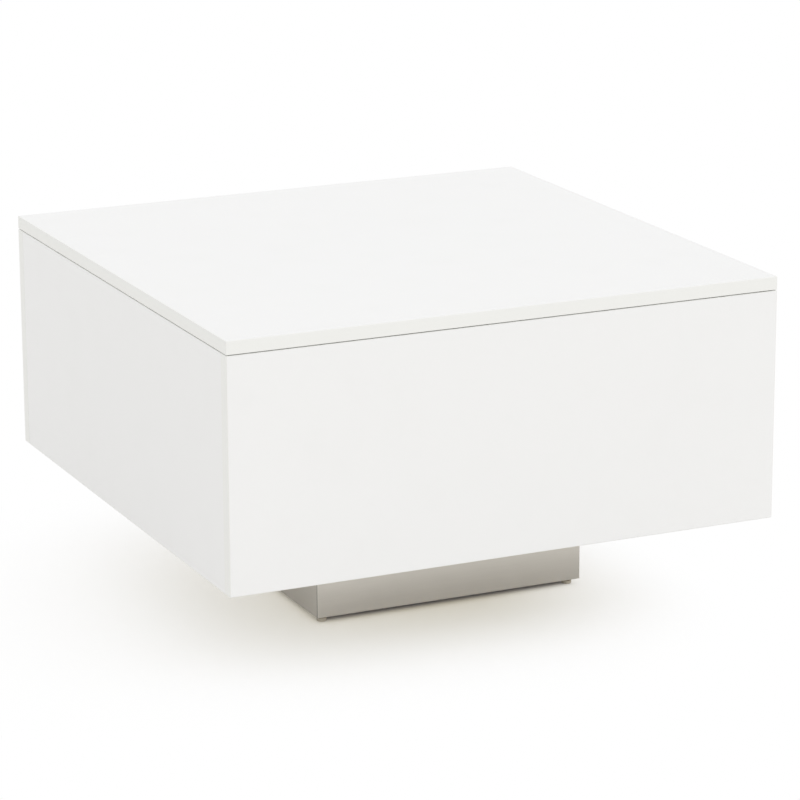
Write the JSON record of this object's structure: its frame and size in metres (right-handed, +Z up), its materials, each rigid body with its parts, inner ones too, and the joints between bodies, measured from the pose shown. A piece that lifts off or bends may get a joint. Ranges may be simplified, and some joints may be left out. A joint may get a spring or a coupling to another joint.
{
  "type": "storage coffee table",
  "caption": "Low square coffee table: a white board box with a flush lift-up lid on a back hinge with stays, standing on a set-back brushed-metal plinth.",
  "frame": {"origin": "on the floor under the middle of the table", "axes": "+Z up, front towards -Y, the hinge along the back edge at +Y, the finger scoop at +X"},
  "size_m": [0.7, 0.704, 0.405],
  "materials": {
    "white_board": "satin white melamine-faced board",
    "core_board": "raw chipboard",
    "steel_facing": "brushed stainless-look facing sheet",
    "beech": "plain beech",
    "zinc": "bright zinc-plated steel",
    "nickel": "satin nickel-plated steel",
    "white_plastic": "moulded white plastic",
    "glide_plastic": "moulded beige plastic",
    "bumper_pad": "clear soft bumper"
  },
  "bodies": {
    "box": {"front_board": "white_board", "back_board": "white_board", "left_board": "white_board", "right_board": "white_board", "bottom_board": "white_board", "plinth_front_board": "core_board", "plinth_back_board": "core_board", "plinth_left_board": "core_board", "plinth_right_board": "core_board", "plinth_front_facing": "steel_facing", "plinth_back_facing": "steel_facing", "plinth_left_facing": "steel_facing", "plinth_right_facing": "steel_facing", "plinth_corner_blocks": "beech", "wall_dowels": "beech", "bottom_dowels": "beech", "wall_cams": "zinc", "wall_cam_bolts": "zinc", "bottom_cams": "zinc", "bottom_cam_bolts": "zinc", "plinth_block_screws": "zinc", "plinth_fixing_screws": "zinc", "glide_nails": "zinc", "hinge_box_screws": "zinc", "hinge_box_leaf": "nickel", "hinge_pin": "nickel", "stay_studs": "nickel", "wall_cam_covers": "white_plastic", "plinth_fixing_covers": "white_plastic", "floor_glides": "glide_plastic", "lid_bumpers": "bumper_pad"},
    "lid": {"lid_board": "white_board", "hinge_lid_leaf": "nickel", "hinge_lid_screws": "zinc", "stay_bracket_left": "nickel", "stay_bracket_right": "nickel", "stay_bracket_screws": "zinc", "stay_rivets": "nickel"},
    "left_stay": {"stay_arm_left": "nickel"},
    "right_stay": {"stay_arm_right": "nickel"}
  },
  "joints": [
    {"name": "lid_hinge", "type": "hinge", "parent": "box", "child": "lid", "pos_m": [0, 0.35215, 0.38825], "axis": [-1, 0, 0], "range_deg": [0, 95]},
    {"name": "left_stay_pivot", "type": "hinge", "parent": "lid", "child": "left_stay", "pos_m": [-0.33, 0.20722, 0.377], "axis": [-1, 0, 0], "range_deg": [-48, 0]},
    {"name": "right_stay_pivot", "type": "hinge", "parent": "lid", "child": "right_stay", "pos_m": [0.33, 0.20722, 0.377], "axis": [-1, 0, 0], "range_deg": [-48, 0]}
  ],
  "couplings": [
    {"joint": "left_stay_pivot", "follows": "lid_hinge", "ratio": -0.5},
    {"joint": "right_stay_pivot", "follows": "lid_hinge", "ratio": -0.5}
  ]
}
